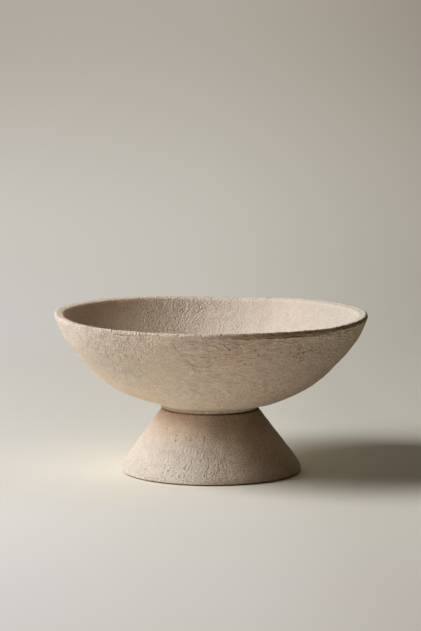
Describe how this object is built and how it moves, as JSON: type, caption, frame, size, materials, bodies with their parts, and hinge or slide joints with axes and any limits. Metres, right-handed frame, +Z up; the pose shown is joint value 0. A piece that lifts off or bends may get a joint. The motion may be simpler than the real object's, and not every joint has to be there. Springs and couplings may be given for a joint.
{
  "type": "footed bowl",
  "caption": "Wide, shallow bowl with a thick banded lip, cemented to a hollow flared pedestal foot, in coarse unglazed stoneware with felt pads underneath.",
  "frame": {"origin": "centre of the foot, on the table that the felt pads stand on", "axes": "+Z up along the axis the bowl and foot are turned about; -Y faces the viewer of the picture and +X is to that viewer's right"},
  "size_m": [0.3054, 0.3054, 0.1575],
  "materials": {
    "stoneware": "unglazed, coarse and fully matt, pale sand-beige fired clay with fine grit, pits and faint turning marks",
    "cement": "matt grey-beige ceramic cement, smoothed and set back in the joint",
    "felt": "pressed felt dots, dull grey-brown"
  },
  "bodies": {
    "root": {"bowl": "stoneware", "pedestal": "stoneware", "bond_ring": "cement", "felt_pad_1": "felt", "felt_pad_2": "felt", "felt_pad_3": "felt", "felt_pad_4": "felt"}
  },
  "joints": []
}
